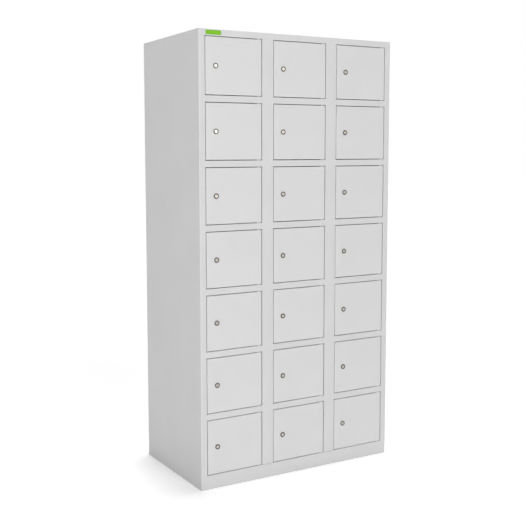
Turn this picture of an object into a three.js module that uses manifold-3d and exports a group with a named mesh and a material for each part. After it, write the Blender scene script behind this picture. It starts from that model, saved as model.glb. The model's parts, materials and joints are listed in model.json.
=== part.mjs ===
// Valuables locker: a folded sheet-steel cabinet with flush doors on pivot pins, each with a cam lock.
// Millimetres, +Z up. The origin is under the middle of the cabinet, on the ground.
// The doors face -Y. Depths are measured backwards from the plane of the door faces.

import * as THREE from "three";
import { mergeVertices } from "three/addons/utils/BufferGeometryUtils.js";
import Module from "manifold-3d";

const wasm = await Module();
wasm.setup();

// Cabinet
const cabinetWidth = 930;
const cabinetDepth = 495;
const cabinetHeight = 1800;
const columnCount = 3;
const rowCount = 7;

// Faces of the front frame
const stileFace = 27;
const mullionFace = 52.5;
const topRailFace = 25;
const shelfRailFace = 25.5;
const baseRailFace = 57.5;

// Sheet and bends
const frameSheet = 1;
const doorSheet = 1;
const bendInside = 1;
const cornerBendInside = 2.5;
const bendSteps = 2;
const cornerBendSteps = 4;

// Seam between pieces that meet, the wider one under a mullion, and how far a cut runs past what it cuts
const seam = 0.3;
const mullionFootSeam = 0.8;
const overrun = 2;

// Folds of the frame
const hingeReturn = 25;
const innerLip = 15;
const mullionSlot = 10;
const stopLip = 9;
const rearFold = 12;
const edgeFold = 15;
const footFold = 20;
const partitionFlange = 20;

// Doors
const doorGap = 2.5;
const hingeGap = 4;
const doorFold = 18;
const pivotInset = 11;
const swingClearance = 1.8;
const pinRadius = 2.5;
const pinPlay = 0.5;
const pinStandout = 2;
const pinRoot = 8;
const washerSetback = 1;
const roundSides = 8;

// Cam locks
const lockInset = 43.5;
const lockHeadRadius = 10.5;
const lockHeadHeight = 3.4;
const lockBodyRadius = 9;
const lockNutRadius = 12.5;
const lockNutThickness = 5;
const plugRadius = 6.5;
const plugPlay = 0.5;
const plugRecess = 1.2;
const keywayWidth = 1.6;
const keywayHeight = 8.5;
const keywayDepth = 4;
const camClearance = 2.2;
const camThickness = 2;
const camHalfWidth = 7;
const catchOverlap = 6;
const screwRadius = 5;
const screwHeight = 3.5;
const lockSides = 12;
const hexSides = 6;
const camSteps = 3;

// Blank plate on the top rail
const plateLength = 67;
const plateHeight = 17;
const plateSheet = 0.8;
const plateInset = 3.4;

// Front openings and door leaves
const mullionCount = columnCount - 1;
const shelfCount = rowCount - 1;
const facesAcross = 2 * stileFace + mullionCount * mullionFace;
const openingWidth = (cabinetWidth - facesAcross) / columnCount;
const railsUp = topRailFace + baseRailFace + shelfCount * shelfRailFace;
const openingHeight = (cabinetHeight - railsUp) / rowCount;
const columnPitch = openingWidth + mullionFace;
const rowPitch = openingHeight + shelfRailFace;
const doorWidth = openingWidth - doorGap - hingeGap;
const doorHeight = openingHeight - 2 * doorGap;

// The pivot lies as deep as it can while the door's front corner still swings clear of the frame
const swingRadius = pivotInset + hingeGap - swingClearance;
const pivotDepth = Math.sqrt(swingRadius ** 2 - pivotInset ** 2);
const washerRadius = pivotDepth - washerSetback;
const pinReach = doorGap + frameSheet + pinStandout;

// The stop lip stands just behind the closed door, and the cam turns just behind the lip
const latchReturn = doorFold + seam;
const camFront = latchReturn + frameSheet + camClearance;
const lockBodyEnd = camFront - plugPlay;
const camReach = lockInset + doorGap - (stopLip - catchOverlap);

// Planes that pieces end on
const faceY = (lockHeadHeight - cabinetDepth) / 2;
const halfWidth = cabinetWidth / 2;
const innerHalfWidth = halfWidth - frameSheet - seam;
const backPanelFront = cabinetDepth - 2 * frameSheet - seam;
const innerBack = backPanelFront - seam;
const underTop = cabinetHeight - frameSheet - seam;
const behindFrame = hingeReturn + seam;
const floorTop = baseRailFace - frameSheet - seam;
const floorFront = pivotDepth + washerRadius;
const slotMeet = cabinetDepth / 2;

const openingLeft = (column) => -halfWidth + stileFace + column * columnPitch;
const mullionX = (index) => openingLeft(index) + openingWidth + mullionFace / 2;
const pivotX = (column) => openingLeft(column) + openingWidth - hingeGap - pivotInset;
const shelfTop = (shelf) => baseRailFace + (shelf + 1) * rowPitch;
const rowMiddle = (row) => cabinetHeight - topRailFace - openingHeight / 2 - row * rowPitch;

// Solids from closed meshes, and back
function solidOf(geometry) {
  geometry.deleteAttribute("normal");
  geometry.deleteAttribute("uv");
  const merged = mergeVertices(geometry);
  return new wasm.Manifold(new wasm.Mesh({
    numProp: 3,
    vertProperties: new Float32Array(merged.attributes.position.array),
    triVerts: new Uint32Array(merged.index.array),
  }));
}

function geometryOf(solid) {
  const mesh = solid.getMesh();
  const geometry = new THREE.BufferGeometry();
  geometry.setAttribute("position", new THREE.BufferAttribute(mesh.vertProperties, 3));
  geometry.setIndex(new THREE.BufferAttribute(mesh.triVerts, 1));
  const faceted = geometry.toNonIndexed();
  faceted.computeVertexNormals();
  return faceted;
}

function box(x0, x1, y0, y1, z0, z1) {
  const geometry = new THREE.BoxGeometry(x1 - x0, y1 - y0, z1 - z0);
  geometry.translate((x0 + x1) / 2, (y0 + y1) / 2, (z0 + z1) / 2);
  return solidOf(geometry);
}

function rodAlongY(radius, sides, x, y0, y1) {
  const geometry = new THREE.CylinderGeometry(radius, radius, y1 - y0, sides);
  geometry.translate(x, (y0 + y1) / 2, 0);
  return solidOf(geometry);
}

function rodAlongZ(radius, sides, x, y, z0, z1) {
  const geometry = new THREE.CylinderGeometry(radius, radius, z1 - z0, sides);
  geometry.rotateX(Math.PI / 2);
  geometry.translate(x, y, (z0 + z1) / 2);
  return solidOf(geometry);
}

// A line with round corners: a corner of radius 0 stays sharp
function roundCorners(points, radii, steps) {
  const line = [];
  points.forEach((point, i) => {
    if (!radii[i]) {
      line.push(point);
      return;
    }
    const back = points[i - 1].clone().sub(point).normalize();
    const ahead = points[i + 1].clone().sub(point).normalize();
    const half = Math.acos(back.dot(ahead)) / 2;
    const middle = back.clone().add(ahead).normalize();
    const centre = point.clone().addScaledVector(middle, radii[i] / Math.sin(half));
    const start = point.clone().addScaledVector(back, radii[i] / Math.tan(half)).sub(centre);
    const turn = Math.sign(ahead.cross(back)) * (Math.PI - 2 * half);
    for (let k = 0; k <= steps[i]; k += 1) {
      line.push(start.clone().rotateAround(new THREE.Vector2(), turn * k / steps[i]).add(centre));
    }
  });
  return line;
}

// Section of a bent sheet: the path is one face, and the sheet lies to the right of it.
// corner is the index of the one bend that is rounder than the others, if there is one.
function bentSheet(path, corner = null) {
  const points = path.map(([a, b]) => new THREE.Vector2(a, b));
  const headings = points.slice(1).map((point, i) => point.clone().sub(points[i]).normalize());
  const right = (heading) => new THREE.Vector2(heading.y, -heading.x);
  const last = points.length - 1;
  const other = points.map((point, i) => {
    const before = right(headings[Math.max(i - 1, 0)]);
    const after = right(headings[Math.min(i, last - 1)]);
    const mitre = before.clone().add(after);
    return point.clone().addScaledVector(mitre, 2 * frameSheet / mitre.lengthSq());
  });
  const radii = (turnsRight, pathSide) => points.map((point, i) => {
    if (i === 0 || i === last) return 0;
    const inside = i === corner ? cornerBendInside : bendInside;
    return turnsRight[i] === pathSide ? inside + frameSheet : inside;
  });
  const turnsRight = points.map((point, i) => (
    i > 0 && i < last && headings[i - 1].cross(headings[i]) < 0
  ));
  const steps = points.map((point, i) => (i === corner ? cornerBendSteps : bendSteps));
  const near = roundCorners(points, radii(turnsRight, true), steps);
  const far = roundCorners(other, radii(turnsRight, false), steps);
  return new THREE.Shape([...near, ...far.reverse()]);
}

// A section in plan, swept upwards
function upright(section, z0, z1) {
  const geometry = new THREE.ExtrudeGeometry(section, { depth: z1 - z0, bevelEnabled: false });
  geometry.translate(0, 0, z0);
  return solidOf(geometry);
}

// A section of depth and height, swept across the cabinet
function across(section, x0, x1) {
  const geometry = new THREE.ExtrudeGeometry(section, { depth: x1 - x0, bevelEnabled: false });
  const toY = new THREE.Vector3(0, 1, 0);
  const toZ = new THREE.Vector3(0, 0, 1);
  const toX = new THREE.Vector3(1, 0, 0);
  geometry.applyMatrix4(new THREE.Matrix4().makeBasis(toY, toZ, toX));
  geometry.translate(x0, 0, 0);
  return solidOf(geometry);
}

// What a sheet that comes forward between the uprights keeps clear of
function cutAroundStiles(solid, z0, z1) {
  let rest = solid;
  const clear = stileFace + seam;
  rest = rest.subtract(box(-halfWidth - overrun, -halfWidth + clear, -overrun, behindFrame, z0, z1));
  return rest.subtract(box(halfWidth - clear, halfWidth + overrun, -overrun, behindFrame, z0, z1));
}

function cutAroundMullion(solid, index, z0, z1) {
  const reach = mullionFace / 2 + seam;
  const x = mullionX(index);
  return solid.subtract(box(x - reach, x + reach, -overrun, behindFrame, z0, z1));
}

function cutAroundStopLip(solid, column, z0, z1) {
  const x0 = openingLeft(column) - overrun;
  const x1 = openingLeft(column) + stopLip + seam;
  const y0 = latchReturn - seam;
  const y1 = latchReturn + frameSheet + seam;
  return solid.subtract(box(x0, x1, y0, y1, z0, z1));
}

function cutPinHole(solid, column, z0, z1) {
  const x = pivotX(column);
  return solid.subtract(rodAlongZ(pinRadius + pinPlay, roundSides, x, pivotDepth, z0, z1));
}

const eachColumn = [...Array(columnCount).keys()];
const eachMullion = [...Array(mullionCount).keys()];
const eachShelf = [...Array(shelfCount).keys()];
const eachRow = [...Array(rowCount).keys()];

// Side panels: one sheet forms the wall, the front stile and the rear fold
function sidePanelLeft() {
  const innerEdge = -halfWidth + stileFace;
  const section = bentSheet([
    [innerEdge + stopLip, latchReturn],
    [innerEdge, latchReturn],
    [innerEdge, 0],
    [-halfWidth, 0],
    [-halfWidth, cabinetDepth],
    [-halfWidth + rearFold, cabinetDepth],
  ], 3);
  const wall = upright(section, 0, underTop);
  const y0 = behindFrame + overrun;
  const y1 = innerBack - overrun;
  return wall.add(box(-halfWidth, -halfWidth + footFold, y0, y1, 0, frameSheet));
}

function sidePanelRight() {
  const innerEdge = halfWidth - stileFace;
  const section = bentSheet([
    [halfWidth - rearFold, cabinetDepth],
    [halfWidth, cabinetDepth],
    [halfWidth, 0],
    [innerEdge, 0],
    [innerEdge, hingeReturn],
    [innerEdge + innerLip, hingeReturn],
  ], 2);
  const wall = upright(section, 0, underTop);
  const y0 = behindFrame + overrun;
  const y1 = innerBack - overrun;
  return wall.add(box(halfWidth - footFold, halfWidth, y0, y1, 0, frameSheet));
}

// Mullion: the lock side has the stop lip, and the hinge side closes the back up to a slot
function mullion() {
  const half = mullionFace / 2;
  const section = bentSheet([
    [half + stopLip, latchReturn],
    [half, latchReturn],
    [half, 0],
    [-half, 0],
    [-half, hingeReturn],
    [half - frameSheet - mullionSlot, hingeReturn],
  ]);
  return upright(section, baseRailFace + mullionFootSeam, cabinetHeight - topRailFace - seam);
}

// Top panel with its front rail, side folds and rear fold
function topPanel() {
  const railBottom = cabinetHeight - topRailFace;
  const section = bentSheet([
    [hingeReturn, railBottom],
    [0, railBottom],
    [0, cabinetHeight],
    [cabinetDepth, cabinetHeight],
    [cabinetDepth, cabinetHeight - rearFold],
  ]);
  const z0 = railBottom - overrun;
  const z1 = cabinetHeight - frameSheet;
  let panel = cutAroundStiles(across(section, -halfWidth, halfWidth), z0, z1);
  panel = cutAroundStopLip(panel, 0, z0, z1);
  const foldEnd = halfWidth - rearFold - seam;
  const rearY = cabinetDepth - frameSheet - bendInside - seam;
  const rearTop = cabinetDepth + overrun;
  panel = panel.subtract(box(-halfWidth - overrun, -foldEnd, rearY, rearTop, z0, z1));
  panel = panel.subtract(box(foldEnd, halfWidth + overrun, rearY, rearTop, z0, z1));
  const y0 = behindFrame + overrun;
  const y1 = innerBack - overrun;
  const foldZ = cabinetHeight - edgeFold;
  const inner = innerHalfWidth - frameSheet;
  const inSheet = cabinetHeight - frameSheet / 2;
  panel = panel.add(box(-innerHalfWidth, -inner, y0, y1, foldZ, inSheet));
  panel = panel.add(box(inner, innerHalfWidth, y0, y1, foldZ, inSheet));
  eachColumn.forEach((column) => {
    panel = cutPinHole(panel, column, z0, railBottom + frameSheet + overrun);
  });
  return panel;
}

// Shelf with its front rail, made at the height of its top face. Slots from the rear take the partitions.
function shelf() {
  const section = bentSheet([
    [hingeReturn, -shelfRailFace],
    [0, -shelfRailFace],
    [0, 0],
    [innerBack, 0],
    [innerBack, -edgeFold],
  ]);
  const z0 = -shelfRailFace - overrun;
  let sheet = across(section, -innerHalfWidth, innerHalfWidth);
  const y0 = behindFrame + overrun;
  const y1 = innerBack - frameSheet - overrun;
  const inner = innerHalfWidth - frameSheet;
  const inSheet = -frameSheet / 2;
  sheet = sheet.add(box(-innerHalfWidth, -inner, y0, y1, -edgeFold, inSheet));
  sheet = sheet.add(box(inner, innerHalfWidth, y0, y1, -edgeFold, inSheet));
  sheet = cutAroundStiles(sheet, z0, overrun);
  eachMullion.forEach((index) => {
    const slot = frameSheet / 2 + seam;
    const x = mullionX(index);
    sheet = cutAroundMullion(sheet, index, z0, overrun);
    sheet = sheet.subtract(box(x - slot, x + slot, slotMeet, innerBack + overrun, z0, overrun));
  });
  eachColumn.forEach((column) => {
    sheet = cutAroundStopLip(sheet, column, z0, overrun);
    sheet = cutPinHole(sheet, column, z0, overrun);
  });
  return sheet;
}

// Partition behind a mullion, flanged to its hinge-side lip. Slots from the front take the shelves.
function partition() {
  const half = frameSheet / 2;
  const section = bentSheet([
    [half, innerBack],
    [half, behindFrame],
    [half - partitionFlange, behindFrame],
  ]);
  let sheet = upright(section, floorTop + seam, underTop);
  eachShelf.forEach((index) => {
    const z0 = shelfTop(index) - frameSheet - seam;
    const z1 = shelfTop(index) + seam;
    const x0 = -partitionFlange - overrun;
    sheet = sheet.subtract(box(x0, half + overrun, behindFrame - overrun, slotMeet + seam, z0, z1));
  });
  return sheet;
}

// Base rail between the stiles, with a sill that holds the lowest pins and a foot fold
function baseRail() {
  const section = bentSheet([
    [footFold, 0],
    [0, 0],
    [0, baseRailFace],
    [hingeReturn, baseRailFace],
  ]);
  const end = halfWidth - stileFace - seam;
  let rail = cutAroundStopLip(across(section, -end, end), 0, -overrun, baseRailFace + overrun);
  eachColumn.forEach((column) => {
    rail = cutPinHole(rail, column, baseRailFace - frameSheet - overrun, baseRailFace + overrun);
  });
  return rail;
}

// Floor panel: a shallow tray turned over, under the sill
function floorPanel() {
  const foldZ = floorTop - edgeFold;
  const section = bentSheet([
    [floorFront, foldZ],
    [floorFront, floorTop],
    [innerBack, floorTop],
    [innerBack, foldZ],
  ]);
  let tray = across(section, -innerHalfWidth, innerHalfWidth);
  const y0 = behindFrame + overrun;
  const y1 = innerBack - frameSheet - overrun;
  const inner = innerHalfWidth - frameSheet;
  const inSheet = floorTop - frameSheet / 2;
  tray = tray.add(box(-innerHalfWidth, -inner, y0, y1, foldZ, inSheet));
  tray = tray.add(box(inner, innerHalfWidth, y0, y1, foldZ, inSheet));
  tray = cutAroundStiles(tray, foldZ - overrun, floorTop + overrun);
  return cutAroundStopLip(tray, 0, foldZ - overrun, floorTop + overrun);
}

function backPanel() {
  const y1 = backPanelFront + frameSheet;
  return box(-innerHalfWidth, innerHalfWidth, backPanelFront, y1, 0, underTop);
}

function labelPlate() {
  const x0 = -halfWidth + stileFace + plateInset;
  const z0 = cabinetHeight - (topRailFace + plateHeight) / 2;
  return box(x0, x0 + plateLength, -seam - plateSheet, -seam, z0, z0 + plateHeight);
}

// Door leaf about its pivot axis: folded pan, pins with their washers, and the lock's fixed shell
function door() {
  const right = pivotInset;
  const left = right - doorWidth;
  const front = -pivotDepth;
  const back = front + doorFold;
  const half = doorHeight / 2;
  const inner = half - doorSheet;
  let leaf = box(left, right, front, back, -half, half);
  const panX = left + doorSheet;
  const panEnd = back + overrun;
  leaf = leaf.subtract(box(panX, right - doorSheet, front + doorSheet, panEnd, -inner, inner));
  [-1, 1].forEach((side) => {
    const rod = (radius, from, to) => {
      const ends = [side * from, side * to].sort((a, b) => a - b);
      return rodAlongZ(radius, roundSides, 0, 0, ...ends);
    };
    leaf = leaf.add(rod(pinRadius, half - pinRoot, half + pinReach));
    leaf = leaf.add(rod(washerRadius, inner, half + doorGap - seam));
  });
  const lockX = left + lockInset;
  const lockPart = (radius, sides, from, to) => (
    rodAlongY(radius, sides, lockX, front + from, front + to)
  );
  leaf = leaf.add(lockPart(lockHeadRadius, lockSides, -lockHeadHeight, doorSheet / 2));
  leaf = leaf.add(lockPart(lockBodyRadius, lockSides, 0, lockBodyEnd));
  leaf = leaf.add(lockPart(lockNutRadius, hexSides, doorSheet / 2, doorSheet + lockNutThickness));
  const bore = lockPart(plugRadius + plugPlay, lockSides, -lockHeadHeight - overrun, lockBodyEnd + overrun);
  return leaf.subtract(bore);
}

// Lock plug about its own axis, from the plane of the door face: keyway, cam hanging down, and its screw
function lockPlug() {
  const front = plugRecess - lockHeadHeight;
  let plug = rodAlongY(plugRadius, lockSides, 0, front, camFront + camThickness / 2);
  const keyway = box(
    -keywayWidth / 2,
    keywayWidth / 2,
    front - overrun,
    front + keywayDepth,
    -keywayHeight / 2,
    keywayHeight / 2,
  );
  plug = plug.subtract(keyway);
  const outline = new THREE.Shape();
  outline.absarc(0, 0, camHalfWidth, 0, Math.PI, false);
  outline.absarc(0, camHalfWidth - camReach, camHalfWidth, Math.PI, 2 * Math.PI, false);
  const cam = new THREE.ExtrudeGeometry(outline, {
    depth: camThickness,
    bevelEnabled: false,
    curveSegments: camSteps,
  });
  cam.rotateX(Math.PI / 2);
  cam.translate(0, camFront + camThickness, 0);
  plug = plug.add(solidOf(cam));
  const screwFront = camFront + camThickness / 2;
  const screwEnd = camFront + camThickness + screwHeight;
  return plug.add(rodAlongY(screwRadius, hexSides, 0, screwFront, screwEnd));
}

// Finishes
const paint = () => new THREE.MeshStandardMaterial({ color: 0xdadada, roughness: 0.5, metalness: 0 });
const nickel = () => new THREE.MeshStandardMaterial({ color: 0xb0aca2, roughness: 0.25, metalness: 1 });
const green = () => new THREE.MeshStandardMaterial({ color: 0x84c83c, roughness: 0.4, metalness: 0 });

function piece(name, geometry, material) {
  const mesh = new THREE.Mesh(geometry, material);
  mesh.name = name;
  return mesh;
}

const cabinet = new THREE.Group();
cabinet.name = "valuables_locker";
cabinet.position.set(0, faceY, 0);

cabinet.add(piece("side_panel_left", geometryOf(sidePanelLeft()), paint()));
cabinet.add(piece("side_panel_right", geometryOf(sidePanelRight()), paint()));
cabinet.add(piece("top_panel", geometryOf(topPanel()), paint()));
cabinet.add(piece("floor_panel", geometryOf(floorPanel()), paint()));
cabinet.add(piece("back_panel", geometryOf(backPanel()), paint()));
cabinet.add(piece("base_rail", geometryOf(baseRail()), paint()));
cabinet.add(piece("label_plate", geometryOf(labelPlate()), green()));

const mullionGeometry = geometryOf(mullion());
const partitionGeometry = geometryOf(partition());
eachMullion.forEach((index) => {
  const post = piece(`mullion_${index + 1}`, mullionGeometry, paint());
  const wall = piece(`partition_${index + 1}`, partitionGeometry, paint());
  post.position.x = mullionX(index);
  wall.position.x = mullionX(index);
  cabinet.add(post, wall);
});

const shelfGeometry = geometryOf(shelf());
eachShelf.forEach((index) => {
  const sheet = piece(`shelf_${index + 1}`, shelfGeometry, paint());
  sheet.position.z = shelfTop(index);
  cabinet.add(sheet);
});

// Each door group sits on its pivot axis, and holds its lock group on the lock's axis
const doorGeometry = geometryOf(door());
const plugGeometry = geometryOf(lockPlug());
eachRow.forEach((row) => {
  eachColumn.forEach((column) => {
    const place = `r${row + 1}c${column + 1}`;
    const hinge = new THREE.Group();
    hinge.position.set(pivotX(column), pivotDepth, rowMiddle(row));
    const lock = new THREE.Group();
    lock.position.set(pivotInset - doorWidth + lockInset, -pivotDepth, 0);
    lock.add(piece(`lock_plug_${place}`, plugGeometry, nickel()));
    hinge.add(piece(`door_${place}`, doorGeometry, paint()), lock);
    cabinet.add(hinge);
  });
});

export default cabinet;
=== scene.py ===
# Valuables locker: finishes, detailed doors and locks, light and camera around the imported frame.
# Metres, in the frame of the CAD model: +Z up, the doors face -Y.
import json
import math

import bmesh
import bpy
from mathutils import Matrix, Vector


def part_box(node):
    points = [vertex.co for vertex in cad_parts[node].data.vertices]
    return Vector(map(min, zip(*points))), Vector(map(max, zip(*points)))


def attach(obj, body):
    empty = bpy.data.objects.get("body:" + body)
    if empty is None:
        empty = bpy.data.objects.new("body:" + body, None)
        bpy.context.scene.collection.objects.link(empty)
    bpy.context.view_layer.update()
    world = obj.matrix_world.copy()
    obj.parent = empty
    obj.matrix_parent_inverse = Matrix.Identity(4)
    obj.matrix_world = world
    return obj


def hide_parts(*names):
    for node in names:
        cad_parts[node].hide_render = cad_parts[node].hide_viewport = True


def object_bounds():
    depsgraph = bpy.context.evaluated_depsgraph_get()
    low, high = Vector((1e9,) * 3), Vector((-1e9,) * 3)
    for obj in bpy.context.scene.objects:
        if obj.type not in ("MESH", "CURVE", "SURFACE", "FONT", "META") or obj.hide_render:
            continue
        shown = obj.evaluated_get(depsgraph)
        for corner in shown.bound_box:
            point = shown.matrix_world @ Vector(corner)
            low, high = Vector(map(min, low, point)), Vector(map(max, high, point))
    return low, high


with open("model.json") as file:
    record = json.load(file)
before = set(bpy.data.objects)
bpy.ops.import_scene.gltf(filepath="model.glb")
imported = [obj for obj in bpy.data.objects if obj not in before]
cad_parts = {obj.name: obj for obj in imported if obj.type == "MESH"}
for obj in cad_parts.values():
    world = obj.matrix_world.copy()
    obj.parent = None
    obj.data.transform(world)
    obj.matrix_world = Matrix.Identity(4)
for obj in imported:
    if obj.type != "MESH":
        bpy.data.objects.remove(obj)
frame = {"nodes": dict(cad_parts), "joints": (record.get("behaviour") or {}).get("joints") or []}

cad_low, cad_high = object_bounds()
scene = bpy.context.scene
scene.view_settings.view_transform = "Standard"

nodes = frame["nodes"]
joints = {joint["name"]: joint for joint in frame["joints"]}
places = sorted(name[len("door_"):] for name in nodes if name.startswith("door_"))
REPLACED = ("door_", "lock_plug_", "label_")

# Sizes that the frame doesn't give by itself
MM = 0.001

# Sheet, bends and edges
SHEET = 1.0 * MM
BEND = 2.0 * MM
BEND_STEPS = 4
ROUND_PROFILE = 0.5
EDGE = 0.25 * MM
CHAMFER = 2 * EDGE
EDGE_STEPS = 2
PLATE_EDGE_STEPS = 3
SAME_POINT = 0.001 * MM

# Gap between pieces that rest on each other, and the wider one between sheets and beyond a washer
FIT = 0.05 * MM
SEAM = 0.3 * MM

# Angles in degrees from which an edge counts as sharp, or gets a bevel
SHARP_ANGLE = 30.0
FINE_SHARP_ANGLE = 25.0
NODE_SHARP_ANGLE = 50.0
BEVEL_ANGLE = 35.0
CAM_BEVEL_ANGLE = 60.0

# Doors, pivot pins and washers
DOOR_GAP = 2.5 * MM
HINGE_GAP = 4.0 * MM
DOOR_FOLD = 18.0 * MM
PIN_REACH = 5.5 * MM
PIN_RADIUS = 2.5 * MM
PIN_ROOT = 8.0 * MM
PIN_STEPS = 24
WASHER_RADIUS = 6.3 * MM
WASHER_BORE = 2.7 * MM
RING_STEPS = 32

# Lock shell and nut
HEAD_RADIUS = 10.5 * MM
HEAD_HEIGHT = 3.4 * MM
RIM_WIDTH = 2.4 * MM
RIM_DROP = 1.8 * MM
RIM_STEPS = 6
BODY_RADIUS = 9.0 * MM
BODY_PLAY = 0.1 * MM
BODY_END = 21.0 * MM
BORE_RADIUS = 6.9 * MM
BORE_LEAD = 1.0 * MM
NUT_RADIUS = 12.5 * MM
NUT_THICKNESS = 5.0 * MM
TURN_STEPS = 48
HEX_SIDES = 6

# Lock plug, cam and cam screw
PLUG_RADIUS = 6.5 * MM
PLUG_RECESS = 1.2 * MM
KEYWAY_WIDTH = 1.6 * MM
KEYWAY_HEIGHT = 8.5 * MM
KEYWAY_DEPTH = 4.0 * MM
CAM_FRONT = 21.5 * MM
CAM_THICKNESS = 2.0 * MM
CAM_HALF_WIDTH = 7.0 * MM
CAM_REACH = 43.0 * MM
CAM_STEPS = 16
SCREW_RADIUS = 4.6 * MM
SCREW_HEIGHT = 3.4 * MM
SCREW_CHAMFER_WIDTH = 0.6 * MM
SCREW_CHAMFER_DROP = 0.4 * MM
SCREW_WASHER_RADIUS = 4.9 * MM
SCREW_WASHER_THICKNESS = 0.7 * MM

# Welds
WELD_OVERLAP = 0.2 * MM
WELD_PROUD = 0.02 * MM
WELD_FRONT = cad_low.y + HEAD_HEIGHT - WELD_PROUD
WELD_REAR = cad_low.y + HEAD_HEIGHT + SHEET

# Colours and roughness
CABINET_TONE = 0.69
DOOR_TONE = 0.71
PAINT_SPREAD = 0.012
PAINT_ROUGHNESS = (0.51, 0.59)
# Lock shell: the crown's dark colour is a painted dark reflection, and the near-black flank by the
# door is painted shade and painted dark reflection
CROWN_PAINTED_REFLECTION = (0.14, 0.13, 0.116)
FLANK_PAINTED_SHADE = (0.02, 0.018, 0.016)
BODY_COLOUR = (0.30, 0.30, 0.30)
PLUG_COLOUR = (0.55, 0.52, 0.465)
LOCK_ROUGHNESS = 0.20
ZINC_COLOUR = (0.42, 0.42, 0.42)
ZINC_ROUGHNESS = 0.35
NYLON_COLOUR = (0.80, 0.80, 0.78)
NYLON_SHADE = (0.74, 0.74, 0.72)
NYLON_ROUGHNESS = 0.45
NYLON_SPECULAR = 0.5
GREEN_COLOUR = (0.212, 0.535, 0.022)
GREEN_SHADE = (0.190, 0.500, 0.018)
GREEN_ROUGHNESS = 0.55
GREEN_SPECULAR = 0.25

# Where the lock shell's painted colours change, from the front of its head to the back of the door's
# sheet: painted dark reflection on the crown, then painted shade and painted dark reflection on the
# flank near the door, then the plain body
CROWN_SHARE = 0.12
FLANK_SHARE = 0.30
FLANK_END_SHARE = 0.85

# Least and greatest noise that a ramp tells apart, and roughness of haze against that of clean metal
RAMP_SHARES = (0.3, 0.7)
HAZE_SHARES = (0.7, 1.4)

# Noise: waves per metre, and octaves
PAINT_DRIFT = (5.0, 3.0)
PAINT_GLOSS = (60.0, 2.0)
PAINT_PEEL = (900.0, 2.0)
METAL_HAZE = (350.0, 4.0)
METAL_MARKS = (2500.0, 2.0)
PLASTIC_CLOUD = (45.0, 3.0)
PLASTIC_GRAIN = (1200.0, 2.0)

# Bump: strength and depth
PAINT_BUMP = (0.12, 0.4 * MM)
METAL_BUMP = (0.05, 0.1 * MM)
PLASTIC_BUMP = (0.06, 0.2 * MM)


# Materials
def grey(value):
    return (value, value, value, 1.0)


def principled(name, colour, roughness, metallic=0.0):
    material = bpy.data.materials.new(name)
    material.use_nodes = True
    shader = material.node_tree.nodes["Principled BSDF"]
    shader.inputs["Base Color"].default_value = (*colour, 1.0)
    shader.inputs["Roughness"].default_value = roughness
    shader.inputs["Metallic"].default_value = metallic
    return material, shader


def add_noise(tree, scale, detail):
    where = tree.nodes.new("ShaderNodeTexCoord")
    noise = tree.nodes.new("ShaderNodeTexNoise")
    noise.inputs["Scale"].default_value = scale
    noise.inputs["Detail"].default_value = detail
    tree.links.new(where.outputs["Object"], noise.inputs["Vector"])
    return noise.outputs["Fac"]


def ramp(tree, source, low, high):
    blend = tree.nodes.new("ShaderNodeValToRGB")
    first, last = blend.color_ramp.elements
    first.position, last.position = RAMP_SHARES
    first.color, last.color = low, high
    tree.links.new(source, blend.inputs["Fac"])
    return blend.outputs["Color"]


def add_bump(tree, shader, source, strength, distance):
    bump = tree.nodes.new("ShaderNodeBump")
    bump.inputs["Strength"].default_value = strength
    bump.inputs["Distance"].default_value = distance
    tree.links.new(source, bump.inputs["Height"])
    tree.links.new(bump.outputs["Normal"], shader.inputs["Normal"])


def powder_coat(name, value):
    """Satin powder coat: fine orange peel, with slow drifts of tone and gloss"""
    least, most = PAINT_ROUGHNESS
    material, shader = principled(name, (value, value, value), (least + most) / 2)
    tree = material.node_tree
    drift = add_noise(tree, *PAINT_DRIFT)
    tone = ramp(tree, drift, grey(value - PAINT_SPREAD), grey(value + PAINT_SPREAD))
    tree.links.new(tone, shader.inputs["Base Color"])
    gloss = add_noise(tree, *PAINT_GLOSS)
    tree.links.new(ramp(tree, gloss, grey(least), grey(most)), shader.inputs["Roughness"])
    peel = add_noise(tree, *PAINT_PEEL)
    add_bump(tree, shader, peel, *PAINT_BUMP)
    return material


def bright_metal(name, colour, roughness):
    """Plated metal with faint turning marks and handling haze"""
    material, shader = principled(name, colour, roughness, metallic=1.0)
    tree = material.node_tree
    haze = add_noise(tree, *METAL_HAZE)
    clean, hazy = (grey(roughness * share) for share in HAZE_SHARES)
    tree.links.new(ramp(tree, haze, clean, hazy), shader.inputs["Roughness"])
    marks = add_noise(tree, *METAL_MARKS)
    add_bump(tree, shader, marks, *METAL_BUMP)
    return material


def lock_metal_with_painted_shade(name, crown, flank, body, roughness):
    """Plated metal, polished all over: the crown's colour is darkened as a painted dark reflection,
    the flank close to the door is near black as painted shade and painted dark reflection, and the
    body behind the door is plain
    """
    material = bright_metal(name, crown, roughness)
    tree = material.node_tree
    where = tree.nodes.new("ShaderNodeTexCoord")
    axes = tree.nodes.new("ShaderNodeSeparateXYZ")
    tree.links.new(where.outputs["Object"], axes.inputs["Vector"])
    depth = tree.nodes.new("ShaderNodeMapRange")
    depth.inputs["From Min"].default_value = -HEAD_HEIGHT
    depth.inputs["From Max"].default_value = SHEET
    tree.links.new(axes.outputs["Y"], depth.inputs["Value"])
    blend = tree.nodes.new("ShaderNodeValToRGB")
    stops = blend.color_ramp.elements
    stops[0].position, stops[1].position = CROWN_SHARE, FLANK_SHARE
    stops[0].color, stops[1].color = (*crown, 1.0), (*flank, 1.0)
    for position, colour in ((FLANK_END_SHARE, flank), (1.0, body)):
        stops.new(position).color = (*colour, 1.0)
    tree.links.new(depth.outputs["Result"], blend.inputs["Fac"])
    tree.links.new(blend.outputs["Color"], tree.nodes["Principled BSDF"].inputs["Base Color"])
    return material


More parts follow.
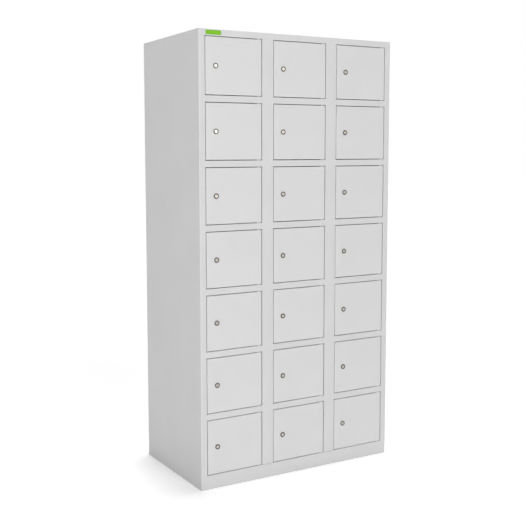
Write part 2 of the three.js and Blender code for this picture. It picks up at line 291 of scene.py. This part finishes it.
def plastic(name, colour, shade, roughness, specular):
    """Moulded plastic with cloudy tone and a fine grain"""
    material, shader = principled(name, colour, roughness)
    shader.inputs["Specular IOR Level"].default_value = specular
    tree = material.node_tree
    cloud = add_noise(tree, *PLASTIC_CLOUD)
    tone = ramp(tree, cloud, (*shade, 1.0), (*colour, 1.0))
    tree.links.new(tone, shader.inputs["Base Color"])
    grain = add_noise(tree, *PLASTIC_GRAIN)
    add_bump(tree, shader, grain, *PLASTIC_BUMP)
    return material


CABINET_PAINT = powder_coat("cabinet_paint", CABINET_TONE)
DOOR_PAINT = powder_coat("door_paint", DOOR_TONE)
# Lock shell nickel, with painted dark reflection on its crown and painted shade and painted dark
# reflection on its flank
NICKEL_WITH_PAINTED_SHADE = lock_metal_with_painted_shade("lock_nickel", CROWN_PAINTED_REFLECTION, FLANK_PAINTED_SHADE, BODY_COLOUR, LOCK_ROUGHNESS)
PLUG_FACE = bright_metal("plug_nickel", PLUG_COLOUR, LOCK_ROUGHNESS)
ZINC = bright_metal("zinc_plate", ZINC_COLOUR, ZINC_ROUGHNESS)
NYLON = plastic("hinge_nylon", NYLON_COLOUR, NYLON_SHADE, NYLON_ROUGHNESS, NYLON_SPECULAR)
GREEN = plastic("label_green", GREEN_COLOUR, GREEN_SHADE, GREEN_ROUGHNESS, GREEN_SPECULAR)


# Mesh making
def new_object(name, mesh, material=None):
    obj = bpy.data.objects.new(name, mesh)
    scene.collection.objects.link(obj)
    if material and not mesh.materials:
        mesh.materials.append(material)
    return obj


def to_mesh(name, bm):
    mesh = bpy.data.meshes.new(name)
    bmesh.ops.recalc_face_normals(bm, faces=bm.faces)
    bm.to_mesh(mesh)
    bm.free()
    return mesh


def smooth(mesh, angle=SHARP_ANGLE):
    for polygon in mesh.polygons:
        polygon.use_smooth = True
    mesh.set_sharp_from_angle(angle=math.radians(angle))
    return mesh


def turned(name, profile, steps=TURN_STEPS, closed=True):
    """A solid turned about the Y axis. The profile is (radius, depth) pairs, and closes on itself
    or, where closed is False, gets a flat face at each end."""
    bm = bmesh.new()
    rings = []
    for k in range(steps):
        turn = Matrix.Rotation(2 * math.pi * k / steps, 3, "Y")
        ring = [bm.verts.new(turn @ Vector((radius, depth, 0.0))) for radius, depth in profile]
        rings.append(ring)
    count = len(profile)
    spans = count if closed else count - 1
    for k in range(steps):
        here, ahead = rings[k], rings[(k + 1) % steps]
        for i in range(spans):
            j = (i + 1) % count
            bm.faces.new((here[i], ahead[i], ahead[j], here[j]))
    if not closed:
        bm.faces.new([ring[0] for ring in rings])
        bm.faces.new([ring[-1] for ring in reversed(rings)])
    return to_mesh(name, bm)


def box_bm(low, high):
    bm = bmesh.new()
    bmesh.ops.create_cube(bm, size=1.0)
    middle = (Vector(low) + Vector(high)) / 2
    size = Vector(high) - Vector(low)
    for vertex in bm.verts:
        vertex.co = vertex.co * size + middle
    return bm


def box_mesh(name, low, high):
    return to_mesh(name, box_bm(low, high))


def baked(obj):
    """The object's mesh with its modifiers applied. The object itself is removed."""
    bpy.context.view_layer.update()
    graph = bpy.context.evaluated_depsgraph_get()
    mesh = bpy.data.meshes.new_from_object(obj.evaluated_get(graph))
    bpy.data.objects.remove(obj)
    return mesh


def cut(mesh, tool):
    """mesh less tool, both in the same frame"""
    body = new_object("body_to_cut", mesh)
    cutter = new_object("cutter", tool)
    step = body.modifiers.new("cut", "BOOLEAN")
    step.operation = "DIFFERENCE"
    step.solver = "EXACT"
    step.object = cutter
    result = baked(body)
    bpy.data.objects.remove(cutter)
    return result


def bevelled(mesh, segments=EDGE_STEPS, angle=BEVEL_ANGLE):
    body = new_object("body_to_bevel", mesh)
    step = body.modifiers.new("bevel", "BEVEL")
    step.width = EDGE
    step.segments = segments
    step.limit_method = "ANGLE"
    step.angle_limit = math.radians(angle)
    return baked(body)


def joined(name, meshes):
    bm = bmesh.new()
    for mesh in meshes:
        bm.from_mesh(mesh)
    return to_mesh(name, bm)


def moved(mesh, matrix):
    copy = mesh.copy()
    copy.transform(matrix)
    return copy


# Doors: the mesh of each piece is made once, about the pivot axis at mid height
first_low, first_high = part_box("door_" + places[0])
first_pivot = Vector(joints["hinge_" + places[0]]["pos_m"])
first_lock = Vector(joints["cam_" + places[0]]["pos_m"])
LEAF_LEFT = first_low.x - first_pivot.x
LEAF_RIGHT = first_high.x - first_pivot.x
LEAF_FRONT = first_low.y + HEAD_HEIGHT - first_pivot.y
LEAF_HALF = (first_high.z - first_low.z) / 2 - PIN_REACH
LOCK_X = first_lock.x - first_pivot.x


def leaf_mesh():
    """Folded pan: front with rounded bends on its four sides, and a hole for the lock"""
    low = (LEAF_LEFT, LEAF_FRONT, -LEAF_HALF)
    high = (LEAF_RIGHT, LEAF_FRONT + DOOR_FOLD, LEAF_HALF)
    bm = box_bm(low, high)
    rear = max(bm.faces, key=lambda face: face.calc_center_median().y)
    bmesh.ops.delete(bm, geom=[rear], context="FACES_ONLY")
    front = min(bm.faces, key=lambda face: face.calc_center_median().y)
    bmesh.ops.bevel(
        bm,
        geom=list(front.edges),
        offset=BEND,
        segments=BEND_STEPS,
        profile=ROUND_PROFILE,
        affect="EDGES",
    )
    skin = new_object("leaf_skin", to_mesh("leaf_skin", bm))
    thick = skin.modifiers.new("thick", "SOLIDIFY")
    thick.thickness = SHEET
    thick.offset = -1.0
    thick.use_even_offset = True
    pan = baked(skin)
    hole = turned("hole", [
        (BODY_RADIUS, LEAF_FRONT - BEND),
        (BODY_RADIUS, LEAF_FRONT + 2 * BEND),
    ], closed=False)
    hole.transform(Matrix.Translation((LOCK_X, 0.0, 0.0)))
    return smooth(cut(pan, hole), FINE_SHARP_ANGLE)


def at_both_ends(name, mesh):
    """Two of the same piece, at the upper and the lower end of the pivot axis"""
    upper = Matrix.Rotation(math.pi / 2, 4, "X")
    lower = Matrix.Rotation(-math.pi / 2, 4, "X")
    return smooth(joined(name, [moved(mesh, upper), moved(mesh, lower)]))


def pins_mesh():
    """Both pivot pins, each with a chamfered end"""
    tip = LEAF_HALF + PIN_REACH
    pin = turned("pin", [
        (PIN_RADIUS, LEAF_HALF - PIN_ROOT),
        (PIN_RADIUS, tip - CHAMFER),
        (PIN_RADIUS - CHAMFER, tip),
    ], PIN_STEPS, closed=False)
    return at_both_ends("pivot_pins", pin)


def washers_mesh():
    """Both washers, which fill the gap round the pins"""
    low = LEAF_HALF + FIT
    high = LEAF_HALF + DOOR_GAP - SEAM
    ring = turned("washer", [
        (WASHER_BORE, low),
        (WASHER_RADIUS - EDGE, low),
        (WASHER_RADIUS, low + EDGE),
        (WASHER_RADIUS, high - EDGE),
        (WASHER_RADIUS - EDGE, high),
        (WASHER_BORE, high),
    ], RING_STEPS)
    return at_both_ends("washers", ring)


# Locks: made about the lock's axis, from the plane of the door face
def lock_shell_mesh():
    """Fixed shell: a domed head with a rolled rim, and the body that the nut runs on"""
    rim = []
    for k in range(RIM_STEPS + 1):
        angle = math.pi / 2 * k / RIM_STEPS
        radius = HEAD_RADIUS - RIM_WIDTH * (1 - math.sin(angle))
        rim.append((radius, -HEAD_HEIGHT + RIM_DROP * (1 - math.cos(angle))))
    body_radius = BODY_RADIUS - BODY_PLAY
    return smooth(turned("lock_shell", [
        (BORE_RADIUS, -HEAD_HEIGHT + BORE_LEAD),
        (BORE_RADIUS + EDGE, -HEAD_HEIGHT + EDGE),
        (BORE_RADIUS + CHAMFER, -HEAD_HEIGHT),
        *rim,
        (HEAD_RADIUS, -FIT),
        (body_radius, -FIT),
        (body_radius, BODY_END - EDGE),
        (body_radius - EDGE, BODY_END),
        (BORE_RADIUS, BODY_END),
    ]), FINE_SHARP_ANGLE)


def lock_nut_mesh():
    """Hexagon nut behind the leaf, bored for the lock body"""
    low = SHEET + FIT
    high = low + NUT_THICKNESS
    blank = turned("nut_blank", [(NUT_RADIUS, low), (NUT_RADIUS, high)], HEX_SIDES, closed=False)
    bore = turned("nut_bore", [
        (BODY_RADIUS, low - SHEET / 2),
        (BODY_RADIUS, high + SHEET / 2),
    ], closed=False)
    return smooth(bevelled(cut(blank, bore)))


def lock_plug_mesh():
    """Turning plug with a chamfered face and a keyway"""
    front = PLUG_RECESS - HEAD_HEIGHT
    solid = turned("plug", [
        (PLUG_RADIUS - CHAMFER, front),
        (PLUG_RADIUS, front + CHAMFER),
        (PLUG_RADIUS, CAM_FRONT - FIT),
    ], closed=False)
    low = (-KEYWAY_WIDTH / 2, front - SHEET, -KEYWAY_HEIGHT / 2)
    high = (KEYWAY_WIDTH / 2, front + KEYWAY_DEPTH, KEYWAY_HEIGHT / 2)
    return smooth(cut(solid, box_mesh("keyway", low, high)))


def cam_mesh():
    """Flat cam with round ends, hanging down from the axis"""
    outline = []
    for start, drop in ((0.0, 0.0), (math.pi, CAM_REACH - CAM_HALF_WIDTH)):
        for k in range(CAM_STEPS + 1):
            angle = start + math.pi * k / CAM_STEPS
            z = math.sin(angle) * CAM_HALF_WIDTH - drop
            outline.append((math.cos(angle) * CAM_HALF_WIDTH, z))
    bm = bmesh.new()
    near = [bm.verts.new((x, CAM_FRONT, z)) for x, z in outline]
    far = [bm.verts.new((x, CAM_FRONT + CAM_THICKNESS, z)) for x, z in outline]
    bm.faces.new(near)
    bm.faces.new(list(reversed(far)))
    for i in range(len(outline)):
        j = (i + 1) % len(outline)
        bm.faces.new((near[i], far[i], far[j], near[j]))
    return smooth(bevelled(to_mesh("cam", bm), angle=CAM_BEVEL_ANGLE))


def cam_screw_mesh():
    """Hexagon screw on its washer, holding the cam"""
    low = CAM_FRONT + CAM_THICKNESS + FIT
    seat = low + SCREW_WASHER_THICKNESS
    top = low + SCREW_HEIGHT
    washer = turned("screw_washer", [
        (SCREW_WASHER_RADIUS, low),
        (SCREW_WASHER_RADIUS, seat),
    ], RING_STEPS, closed=False)
    head = turned("screw_head", [
        (SCREW_RADIUS, seat),
        (SCREW_RADIUS, top - SCREW_CHAMFER_DROP),
        (SCREW_RADIUS - SCREW_CHAMFER_WIDTH, top),
    ], HEX_SIDES, closed=False)
    return smooth(joined("cam_screw", [washer, head]))


def even_normals(obj):
    """Keeps the large flat faces flat, where smooth shading runs round the bends"""
    step = obj.modifiers.new("normals", "WEIGHTED_NORMAL")
    step.keep_sharp = True


def place(name, mesh, material, where, body, replaced):
    obj = new_object(name, mesh, material)
    obj.location = where
    even_normals(obj)
    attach(obj, body)
    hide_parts(replaced)


leaf = leaf_mesh()
pins = pins_mesh()
washers = washers_mesh()
shell = lock_shell_mesh()
nut = lock_nut_mesh()
plug = lock_plug_mesh()
cam = cam_mesh()
screw = cam_screw_mesh()

for spot in places:
    pivot = Vector(joints["hinge_" + spot]["pos_m"])
    lock_axis = Vector(joints["cam_" + spot]["pos_m"])
    door_body, lock_body = "door_" + spot, "lock_" + spot
    door_node, plug_node = "door_" + spot, "lock_plug_" + spot
    place("leaf_" + spot, leaf, DOOR_PAINT, pivot, door_body, door_node)
    place("pivot_pins_" + spot, pins, ZINC, pivot, door_body, door_node)
    place("washers_" + spot, washers, NYLON, pivot, door_body, door_node)
    place("lock_shell_" + spot, shell, NICKEL_WITH_PAINTED_SHADE, lock_axis, door_body, door_node)
    place("lock_nut_" + spot, nut, ZINC, lock_axis, door_body, door_node)
    place("plug_" + spot, plug, PLUG_FACE, lock_axis, lock_body, plug_node)
    place("cam_" + spot, cam, ZINC, lock_axis, lock_body, plug_node)
    place("cam_screw_" + spot, screw, ZINC, lock_axis, lock_body, plug_node)


# Blank plate with soft edges
plate = smooth(bevelled(box_mesh("blank_plate", *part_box("label_plate")), PLATE_EDGE_STEPS))
place("blank_plate", plate, GREEN, (0.0, 0.0, 0.0), "cabinet", "label_plate")


# Cabinet: the CAD nodes keep their shape and get their finish
def finish_node(obj, material):
    """New finish, with the corners shared so that smooth shading can run round the bends"""
    obj.data.materials.clear()
    obj.data.materials.append(material)
    for polygon in obj.data.polygons:
        polygon.use_smooth = True
    corners = obj.modifiers.new("shared_corners", "WELD")
    corners.merge_threshold = SAME_POINT
    edges = obj.modifiers.new("crisp_edges", "EDGE_SPLIT")
    edges.use_edge_sharp = False
    edges.split_angle = math.radians(NODE_SHARP_ANGLE)
    even_normals(obj)


for name in nodes:
    if not name.startswith(REPLACED):
        finish_node(nodes[name], CABINET_PAINT)


# Welds dressed flush where the rails meet the uprights. The seams under the mullions stay open.
def end_strips(left, right, bottom, top):
    """A strip at each end of a rail that fills the space between two uprights"""
    z0, z1 = bottom + BEND, top - BEND
    inward = SEAM + WELD_OVERLAP
    return [
        ((left - BEND, WELD_FRONT, z0), (left + inward, WELD_REAR, z1)),
        ((right - inward, WELD_FRONT, z0), (right + BEND, WELD_REAR, z1)),
    ]


def weld_mesh():
    openings = []
    for column in sorted({spot[-1] for spot in places}):
        low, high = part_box("door_r1c" + column)
        openings.append((low.x - DOOR_GAP, high.x + HINGE_GAP))
    strips = []
    for shelf in sorted(name for name in nodes if name.startswith("shelf_")):
        low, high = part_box(shelf)
        for left, right in openings:
            strips += end_strips(left, right, low.z, high.z)
    first_left, last_right = openings[0][0], openings[-1][1]
    low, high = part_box("base_rail")
    strips += end_strips(first_left, last_right, low.z, high.z)
    top_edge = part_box("door_r1c1")[1].z - PIN_REACH + DOOR_GAP
    strips += end_strips(first_left, last_right, top_edge, cad_high.z)
    for before, after in zip(openings, openings[1:]):
        low = (before[1] + BEND, WELD_FRONT, top_edge - SEAM - WELD_OVERLAP)
        high = (after[0] - BEND, WELD_REAR, top_edge + BEND)
        strips.append((low, high))
    return joined("dressed_welds", [box_mesh("strip", low, high) for low, high in strips])


welds = new_object("dressed_welds", weld_mesh(), CABINET_PAINT)
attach(welds, "cabinet")


# Floor, background and light
FLOOR_SIZE = 60.0
FLOOR_ALBEDO = 0.90
FLOOR_BOUNCE = 0.83
FLOOR_LIFT = 0.305
WHITE = 1.0
AMBIENT_STRENGTH = 0.12
BACKDROP_STRENGTH = 1.0
LAMP_DISTANCE = 8.0
SOFTBOX_SIZE = (2.0, 4.4)
# Azimuth, elevation and spread in degrees, and strength
SUNS = {
    "key": (21, 5, 24, 0.37),
    "front_high": (0, 36, 24, 0.66),
    "top": (108, 85, 11, 1.50),
    "back_fill": (160, 20, 40, 0.8),
}
# Azimuth and elevation in degrees, and power
SOFTBOXES = {
    "left_softbox": (-45, 3, 258.0),
    "side_softbox": (-80, 3, 46.0),
}
# Lights that no surface mirrors, so that the top panel keeps its tone in every view
UNMIRRORED = ("back_fill",)


def coloured(tree, kind, value):
    node = tree.nodes.new(kind)
    node.inputs["Color"].default_value = grey(value)
    return node


def larger(tree, first, second):
    most = tree.nodes.new("ShaderNodeMath")
    most.operation = "MAXIMUM"
    tree.links.new(first, most.inputs[0])
    tree.links.new(second, most.inputs[1])
    return most.outputs[0]


def split_by_ray(tree, plain, seen, out):
    """Gives camera, glossy and transmission rays the shader seen, and all others plain"""
    path = tree.nodes.new("ShaderNodeLightPath")
    direct = larger(tree, path.outputs["Is Camera Ray"], path.outputs["Is Glossy Ray"])
    direct = larger(tree, direct, path.outputs["Is Transmission Ray"])
    choose = tree.nodes.new("ShaderNodeMixShader")
    tree.links.new(direct, choose.inputs["Fac"])
    tree.links.new(plain.outputs[0], choose.inputs[1])
    tree.links.new(seen.outputs[0], choose.inputs[2])
    tree.links.new(choose.outputs[0], out.inputs["Surface"])


def make_floor():
    bm = bmesh.new()
    bmesh.ops.create_grid(bm, x_segments=1, y_segments=1, size=FLOOR_SIZE / 2)
    material = bpy.data.materials.new("floor")
    material.use_nodes = True
    tree = material.node_tree
    tree.nodes.clear()
    out = tree.nodes.new("ShaderNodeOutputMaterial")
    plain = coloured(tree, "ShaderNodeBsdfDiffuse", FLOOR_BOUNCE)
    shown = coloured(tree, "ShaderNodeBsdfDiffuse", FLOOR_ALBEDO)
    lift = tree.nodes.new("ShaderNodeEmission")
    lift.inputs["Strength"].default_value = FLOOR_LIFT
    lifted = tree.nodes.new("ShaderNodeAddShader")
    tree.links.new(shown.outputs[0], lifted.inputs[0])
    tree.links.new(lift.outputs[0], lifted.inputs[1])
    split_by_ray(tree, plain, lifted, out)
    floor = new_object("floor", to_mesh("floor", bm), material)


def make_world():
    world = bpy.data.worlds.new("studio")
    scene.world = world
    world.use_nodes = True
    tree = world.node_tree
    tree.nodes.clear()
    out = tree.nodes.new("ShaderNodeOutputWorld")
    ambient = coloured(tree, "ShaderNodeBackground", WHITE)
    ambient.inputs["Strength"].default_value = AMBIENT_STRENGTH
    backdrop = coloured(tree, "ShaderNodeBackground", WHITE)
    backdrop.inputs["Strength"].default_value = BACKDROP_STRENGTH
    split_by_ray(tree, ambient, backdrop, out)


def towards(azimuth, elevation):
    """Unit vector to a light. The azimuth runs from the front, -Y, towards +X."""
    turn, lift = math.radians(azimuth), math.radians(elevation)
    return Vector((math.sin(turn) * math.cos(lift), -math.cos(turn) * math.cos(lift), math.sin(lift)))


def add_light(name, kind, direction, strength):
    data = bpy.data.lights.new(name, kind)
    data.energy = strength
    obj = bpy.data.objects.new(name, data)
    scene.collection.objects.link(obj)
    obj.location = (cad_low + cad_high) / 2 + direction * LAMP_DISTANCE
    obj.rotation_euler = direction.to_track_quat("Z", "Y").to_euler()
    obj.visible_glossy = name not in UNMIRRORED
    return data


def make_lights():
    for name, (azimuth, elevation, spread, strength) in SUNS.items():
        sun = add_light(name, "SUN", towards(azimuth, elevation), strength)
        sun.angle = math.radians(spread)
    for name, (azimuth, elevation, power) in SOFTBOXES.items():
        softbox = add_light(name, "AREA", towards(azimuth, elevation), power)
        softbox.shape = "RECTANGLE"
        softbox.size, softbox.size_y = SOFTBOX_SIZE


# Camera: solved from the photograph's edges, from the left end of the doors' plane. Angles in radians.
IMAGE_SIDE = 526
SENSOR = 36.0
FOCAL_PIXELS = 861.15
AXIS_PIXEL = (200.0, 240.0)
CAMERA_FROM_CORNER = Vector((-1.56363, -2.90447, 1.30814))
CAMERA_YAW = 0.49394
CAMERA_PITCH = -0.09353
CAMERA_ROLL = -0.00702
CLIP_NEAR = 0.05
CLIP_FAR = 100.0


def make_camera():
    data = bpy.data.cameras.new("camera")
    obj = bpy.data.objects.new("camera", data)
    scene.collection.objects.link(obj)
    scene.camera = obj
    data.sensor_width = SENSOR
    data.lens = FOCAL_PIXELS / IMAGE_SIDE * SENSOR
    data.shift_x = (IMAGE_SIDE / 2 - AXIS_PIXEL[0]) / IMAGE_SIDE
    data.shift_y = (AXIS_PIXEL[1] - IMAGE_SIDE / 2) / IMAGE_SIDE
    data.clip_start = CLIP_NEAR
    data.clip_end = CLIP_FAR
    corner = Vector((cad_low.x, cad_low.y + HEAD_HEIGHT, 0.0))
    obj.location = corner + CAMERA_FROM_CORNER
    ahead = Vector((
        math.sin(CAMERA_YAW) * math.cos(CAMERA_PITCH),
        math.cos(CAMERA_YAW) * math.cos(CAMERA_PITCH),
        math.sin(CAMERA_PITCH),
    ))
    level = Vector((math.cos(CAMERA_YAW), -math.sin(CAMERA_YAW), 0.0))
    upright = level.cross(ahead)
    right = level * math.cos(CAMERA_ROLL) + upright * math.sin(CAMERA_ROLL)
    up = upright * math.cos(CAMERA_ROLL) - level * math.sin(CAMERA_ROLL)
    turn = Matrix((right, up, -ahead)).transposed()
    obj.rotation_mode = "QUATERNION"
    obj.rotation_quaternion = turn.to_quaternion()


make_camera()
make_floor()
make_world()
make_lights()
